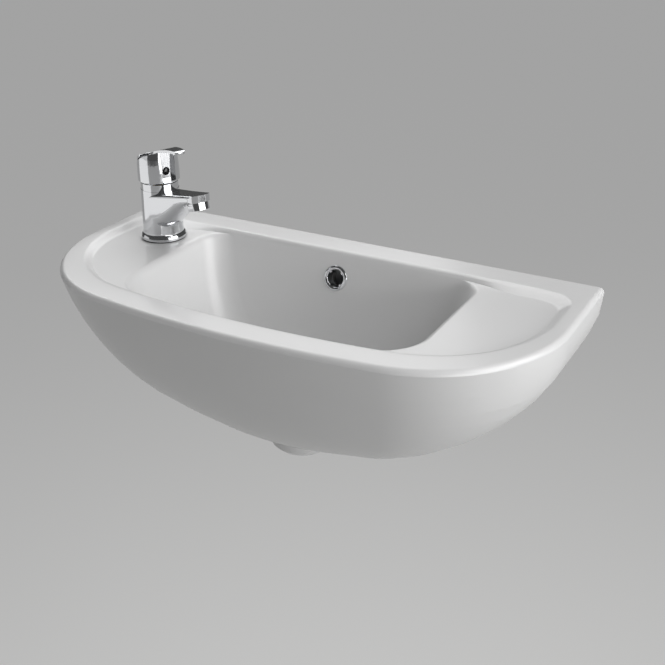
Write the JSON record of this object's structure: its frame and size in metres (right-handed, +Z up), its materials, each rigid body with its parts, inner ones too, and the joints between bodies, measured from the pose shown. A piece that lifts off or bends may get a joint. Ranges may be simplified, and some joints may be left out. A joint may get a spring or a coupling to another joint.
{
  "type": "wall-hung basin",
  "caption": "Slim wall-hung cloakroom basin with a bowed front, side shelves, overflow and a single-lever mixer tap on its left shelf.",
  "frame": {"origin": "midway between the two wall bolts, on the plane of the wall", "axes": "+Z up, +Y into the wall, +X along the basin's width to the right as seen from the front"},
  "size_m": [0.5, 0.235, 0.2668],
  "materials": {
    "china": "gloss glaze",
    "chrome_plate": "polished plating",
    "seal_rubber": "matt",
    "cartridge_plastic": "moulded",
    "disc_ceramic": "lapped",
    "brass": "machined",
    "zinc_steel": "zinc plated",
    "indicator_plastic": "gloss"
  },
  "bodies": {
    "basin": {"basin_body": "china", "overflow_ring": "chrome_plate", "base_ring": "chrome_plate", "tap_body": "chrome_plate", "aerator_housing": "chrome_plate", "base_seal": "seal_rubber", "aerator_seal": "seal_rubber", "cartridge_seals": "seal_rubber", "clamp_gasket": "seal_rubber", "cartridge_base": "cartridge_plastic", "cartridge_housing": "cartridge_plastic", "aerator_insert": "cartridge_plastic", "fixed_disc": "disc_ceramic", "cartridge_nut": "brass", "fixing_stud": "brass", "clamp_nut": "brass", "clamp_washer": "zinc_steel"},
    "turning_guide": {"stem_guide": "cartridge_plastic", "pivot_pin": "zinc_steel"},
    "lever": {"lever_handle": "chrome_plate", "lever_stem": "brass", "grub_screw": "zinc_steel", "indicator_cap": "indicator_plastic"},
    "disc": {"moving_disc": "disc_ceramic", "disc_carrier": "cartridge_plastic"}
  },
  "joints": [
    {"name": "lever_turn", "type": "hinge", "parent": "basin", "child": "turning_guide", "pos_m": [-0.184, -0.0665, 0.1125], "axis": [0, 0, 1], "range_deg": [-45, 45]},
    {"name": "lever_lift", "type": "hinge", "parent": "turning_guide", "child": "lever", "pos_m": [-0.184, -0.0665, 0.1125], "axis": [-0.342, -0.9397, 0], "range_deg": [0, 20]},
    {"name": "disc_slide", "type": "slide", "parent": "turning_guide", "child": "disc", "axis": [0.9397, -0.342, 0], "range_m": [0, 0.0034]}
  ],
  "couplings": [
    {"joint": "disc_slide", "follows": "lever_lift", "m_per_rad": 0.0095}
  ]
}
